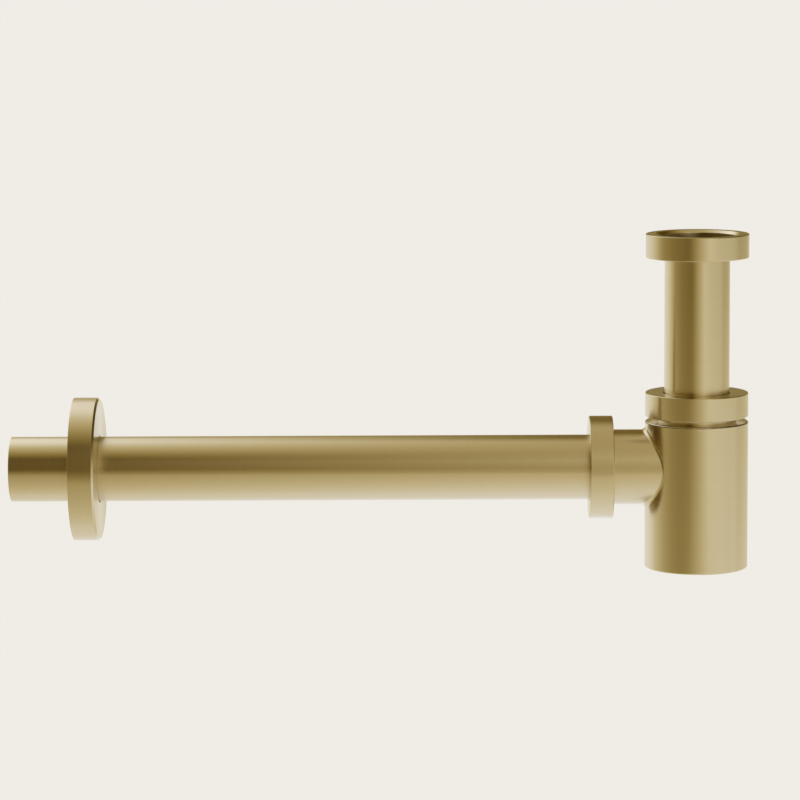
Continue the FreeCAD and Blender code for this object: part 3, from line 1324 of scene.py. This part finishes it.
@dataclass
class Studio:
    """Pale floor, soft light tent and camera.

    Attributes:
        pale: colour of the floor and background.
        floor_place: middle of the floor.
        floor_radius: radius of the floor.
        floor_fade: shares of that radius between which it fades away.
        floor_glow: share of its colour that it scatters, and strength of its own glow.
        floor_rows: rings of the floor.
        floor_columns: columns of the floor.
        tent_centre: centre of the light tent.
        tent_radius: radius of the light tent.
        tent_rows: rings of the light tent.
        tent_columns: columns of the light tent.
        left_wall: brightness of the tent's left end, by depth from the camera's side to the back.
        left_slope: how fast that brightness falls upwards near the object's level, by depth.
        left_top: share of it that is left higher up, by level.
        near_wall: brightness beside the wall flange, by angle from the camera's side over the top.
        middle: the same at the bottle.
        far_side: the same to the right of the bottle.
        right_wall: brightness of the tent's right end, by depth.
        right_slope: how fast it falls upwards, by depth.
        right_top: share of it that is left higher up.
        drop_levels: levels between which the ends' brightness falls.
        drop: share that a slope of 1 adds at the lower of those levels and takes away at the upper.
        stations: where the left end, the three bands and the right end lie, from left to right.
        shade_warmth: powers that warm the green and blue of the darker parts.
        right_warmth: the same at the tent's right end.
        right_blend: where the light passes from the one warmth to the other.
        highlight_tint: factors that cool the green and blue of the brightest parts.
        highlight_range: brightness from which that starts and is complete.
        eye: place of the camera.
        yaw: turn of its view to the right.
        pitch: turn of its view downwards.
        roll: turn of the camera about its view.
        focal_pixels: focal length in pixels of the frame.
        frame_pixels: width of the frame.
        sensor: width of the sensor in millimetres.
        clip: nearest and farthest distance that it sees.
    """

    pale: Triple = (0.871, 0.840, 0.791)
    floor_place: Triple = (-0.15, 0.0, -0.62)
    floor_radius: float = 1.3
    floor_fade: tuple[float, float] = (0.55, 0.98)
    floor_glow: float = 0.62
    floor_rows: int = 13
    floor_columns: int = 96
    tent_centre: Triple = (0.0, 0.0, -0.10)
    tent_radius: float = 1.6
    tent_rows: int = 33
    tent_columns: int = 64
    left_wall: Steps = ((-1.6, 0.27), (-0.8, 0.35), (-0.2, 0.47), (0.8, 0.89), (1.6, 1.0))
    left_slope: Steps = ((-1.6, 1.5), (-0.2, 1.4), (0.5, 0.25), (1.6, 0.2))
    left_top: Steps = ((0.1, 1.0), (1.1, 1.6))
    near_wall: Steps = (
        (-180, 0.90), (-100, 0.90), (-15, 0.50), (5, 0.07), (45, 0.02),
        (75, 0.55), (120, 1.20), (140, 1.20), (160, 0.65), (180, 0.50),
    )
    middle: Steps = (
        (-180, 1.00), (-168, 0.80), (-150, 1.00), (-100, 1.00), (-60, 0.90),
        (-15, 0.70), (-8, 0.55), (5, 0.52), (30, 0.66), (60, 0.56),
        (110, 0.56), (135, 0.18), (172, 0.25), (178, 1.00), (180, 1.10),
    )
    far_side: Steps = (
        (-180, 0.75), (-100, 0.85), (30, 0.85), (100, 0.45), (125, 0.15), (145, 0.10), (180, 0.35),
    )
    right_wall: Steps = ((-1.6, 0.84), (0.0, 0.75), (0.3, 0.65), (1.6, 0.70))
    right_slope: Steps = ((-1.6, 0.5), (-0.3, 0.6), (0.3, 1.3), (1.6, 1.3))
    right_top: Steps = ((0.1, 1.0), (0.7, 0.25), (1.1, 0.2))
    drop_levels: tuple[float, float] = (-0.45, 0.15)
    drop: float = 0.3
    stations: tuple[float, ...] = (-1.00, -0.55, 0.0, 0.60, 1.20)
    shade_warmth: tuple[float, float] = (0.22, 1.05)
    right_warmth: tuple[float, float] = (0.15, 0.78)
    right_blend: tuple[float, float] = (0.9, 1.5)
    highlight_tint: tuple[float, float] = (1.04, 1.20)
    highlight_range: tuple[float, float] = (0.80, 0.96)
    eye: Triple = (-0.11800, -1.66, 0.15668)
    yaw: float = -0.01684
    pitch: float = 0.13869
    roll: float = 0.00693
    focal_pixels: float = 3402.5
    frame_pixels: float = 800.0
    sensor: float = 36.0
    clip: tuple[float, float] = (0.05, 50.0)

    def build_camera(self) -> bpy.types.Object:
        """Places the camera at the photograph's viewing angle.

        Returns:
            The camera.
        """
        data = bpy.data.cameras.new("camera")
        data.sensor_width = self.sensor
        data.lens = self.focal_pixels / self.frame_pixels * self.sensor
        data.clip_start, data.clip_end = self.clip
        level = math.cos(self.pitch)
        ahead = Vector((math.sin(self.yaw) * level, math.cos(self.yaw) * level, -math.sin(self.pitch)))
        right = Vector((math.cos(self.yaw), -math.sin(self.yaw), 0.0))
        down = ahead.cross(right)
        cos, sin = math.cos(self.roll), math.sin(self.roll)
        right, down = cos * right + sin * down, cos * down - sin * right
        turn = Matrix((right, -down, -ahead)).transposed().to_4x4()
        camera = bpy.data.objects.new("camera", data)
        camera.matrix_world = Matrix.Translation(self.eye) @ turn
        bpy.context.scene.collection.objects.link(camera)
        bpy.context.scene.camera = camera
        return camera

    def build_world(self) -> None:
        """Gives the background its pale colour."""
        world = bpy.data.worlds.new("pale_room")
        world.use_nodes = True
        background = world.node_tree.nodes["Background"]
        background.inputs["Color"].default_value = (*self.pale, 1.0)
        background.inputs["Strength"].default_value = 1.0
        bpy.context.scene.world = world

    @staticmethod
    def ramp(tree: Tree, share: bpy.types.NodeSocket, steps: Steps) -> bpy.types.NodeSocket:
        """Brightness along one line of the tent.

        Args:
            tree: the tent's nodes.
            share: place on the line, from 0 to 1.
            steps: places from the first to the last, and their brightness.

        Returns:
            The brightness.
        """
        node = tree.add("ShaderNodeValToRGB", {0: share})
        stops = node.color_ramp.elements
        first, last = steps[0][0], steps[-1][0]
        # A new ramp already holds two stops
        for k, (at, bright) in enumerate(steps):
            place = (at - first) / (last - first)
            stop = stops[k] if k < 2 else stops.new(place)
            stop.position = place
            stop.color = (bright, bright, bright, 1.0)
        return node.outputs[0]

    def tent_material(self) -> bpy.types.Material:
        """Soft graded light of the tent.

        Returns:
            The material.
        """
        made, tree = new_material("tent_light")
        made.node_tree.nodes.clear()
        place = tree.add("ShaderNodeNewGeometry").outputs["Position"]
        parts = tree.add("ShaderNodeSeparateXYZ", {0: place}).outputs
        above = tree.math("SUBTRACT", parts[2], self.tent_centre[2])
        towards = tree.math("SUBTRACT", self.tent_centre[1], parts[1])
        angle = tree.math("ARCTAN2", above, towards)
        turn = tree.math("ADD", tree.math("DIVIDE", angle, 2 * math.pi), 0.5)
        depth = tree.math("SUBTRACT", 0.5, tree.math("DIVIDE", towards, 2 * self.tent_radius))
        bands = [self.ramp(tree, turn, steps) for steps in (self.near_wall, self.middle, self.far_side)]
        drop = tree.span(above, self.drop_levels, (self.drop, -self.drop))
        ends = []
        for wall, slope, top in (
            (self.left_wall, self.left_slope, self.left_top),
            (self.right_wall, self.right_slope, self.right_top),
        ):
            level = tree.span(above, (top[0][0], top[-1][0]))
            share = tree.math("MULTIPLY_ADD", self.ramp(tree, depth, slope), drop, 1.0)
            share = tree.math("MULTIPLY", share, self.ramp(tree, level, top))
            ends.append(tree.math("MULTIPLY", self.ramp(tree, depth, wall), share))
        bright, *others = [ends[0], *bands, ends[1]]
        for start, end, onward in zip(self.stations, self.stations[1:], others):
            bright = tree.mix(tree.span(parts[0], (start, end)), bright, onward)
        right = tree.span(parts[0], self.right_blend)
        warm, capped = [], tree.math("MINIMUM", bright, 1.0)
        for power, far_power, tint in zip(self.shade_warmth, self.right_warmth, self.highlight_tint):
            cool = tree.span(bright, self.highlight_range, (1.0, tint))
            fade = tree.math("POWER", capped, tree.mix(right, power, far_power))
            fade = tree.math("MULTIPLY", fade, cool)
            warm.append(tree.math("MULTIPLY", bright, fade))
        colour = tree.add("ShaderNodeCombineColor", {0: bright, 1: warm[0], 2: warm[1]}).outputs[0]
        light = tree.add("ShaderNodeEmission", {"Color": colour, "Strength": 1.0})
        tree.add("ShaderNodeOutputMaterial", {"Surface": light.outputs[0]})
        return made

    def build_tent(self) -> bpy.types.Object:
        """Hangs the light tent round the object; the camera looks through it.

        Returns:
            The tent.
        """
        rows = np.linspace(-math.pi / 2, math.pi / 2, self.tent_rows)[:, None]
        angles = even_turn(self.tent_columns)
        lay = Lay(self.tent_centre, UP)
        skin = Skin()
        points = lay.ring(self.tent_radius * np.cos(rows), self.tent_radius * np.sin(rows), angles[None])
        skin.grid(points, lay.turned_vector(np.cos(rows), np.sin(rows), angles[None]))
        tent = skin.piece("light_tent", [self.tent_material()])
        tent.visible_camera = False
        return tent

    def build_floor(self) -> bpy.types.Object:
        """Lays the pale floor, which fades into the background and keeps the object's shadow.

        Returns:
            The floor.
        """
        made, tree = new_material("pale_floor")
        made.node_tree.nodes.clear()
        place = tree.add("ShaderNodeTexCoord").outputs["Object"]
        away = tree.add("ShaderNodeVectorMath", {0: place}, operation="LENGTH").outputs["Value"]
        fade_range = [share * self.floor_radius for share in self.floor_fade]
        fade = tree.span(away, fade_range, kind="SMOOTHSTEP")
        under = tree.add("ShaderNodeNewGeometry").outputs["Backfacing"]
        clear = tree.math("MAXIMUM", fade, under)
        matt_colour = [self.floor_glow * share for share in self.pale]
        matt = tree.add("ShaderNodeBsdfDiffuse", {"Color": (*matt_colour, 1.0)})
        glow = tree.add("ShaderNodeEmission", {"Color": (*self.pale, 1.0), "Strength": self.floor_glow})
        both = tree.add("ShaderNodeAddShader", {0: matt.outputs[0], 1: glow.outputs[0]})
        open_air = tree.add("ShaderNodeBsdfTransparent")
        mixed = tree.add("ShaderNodeMixShader", {0: clear, 1: both.outputs[0], 2: open_air.outputs[0]})
        tree.add("ShaderNodeOutputMaterial", {"Surface": mixed.outputs[0]})
        skin = Skin()
        lay = Lay((0.0, 0.0, 0.0), UP)
        rows = np.linspace(self.floor_radius, 0.0, self.floor_rows)[:, None]
        angles = even_turn(self.floor_columns)
        level = np.zeros_like(rows)
        skin.grid(lay.ring(rows, level, angles[None]), lay.turned_vector(level, level + 1.0, angles[None]))
        floor = skin.piece("pale_floor", [made])
        floor.location = self.floor_place
        floor.visible_glossy = False
        return floor

    def build(self) -> None:
        """Builds the whole studio and sets the plain view transform."""
        self.build_camera()
        self.build_world()
        self.build_tent()
        self.build_floor()
        bpy.context.scene.view_settings.view_transform = "Standard"


def main() -> None:
    """Builds the trap from the inlet to the wall, then the studio, and reports each piece."""
    logging.basicConfig(level=logging.INFO, format="%(name)s: %(message)s")
    tube_low, tube_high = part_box("wall_tube")
    tube_radius = (tube_high.z - tube_low.z) / 2
    run = WallRun()
    guide, bore = tube_radius + TUBE_CLEAR, tube_radius - run.tube_wall
    finishes = Finishes((tube_high.z + tube_low.z) / 2)
    inlet_nut = RoundNut("inlet_nut", "union", UP, guide, THREAD_RADIUS, entry=INLET_PLAIN_BORE)
    cap_nut = RoundNut("cap_nut", "cap_nut", DOWN, guide, THREAD_RADIUS)
    outlet_nut = RoundNut("outlet_nut", "outlet_nut", INWARD, guide, THREAD_RADIUS)

    pieces = [
        inlet_nut.build(finishes.upright),
        InletTube().build(tube_radius, finishes.upright),
        cap_nut.build(finishes.upright),
        Bottle().build(guide, bore, finishes),
        outlet_nut.build(finishes.level),
        run.build_tube(finishes.level),
        run.build_flange(guide, finishes.level),
    ]
    pieces += Seals().dress(finishes)
    for piece in pieces:
        log.info("%s: %d faces", piece.name, len(piece.data.polygons))

    Studio().build()
    log.info("studio built")


if __name__ == "__main__":
    main()
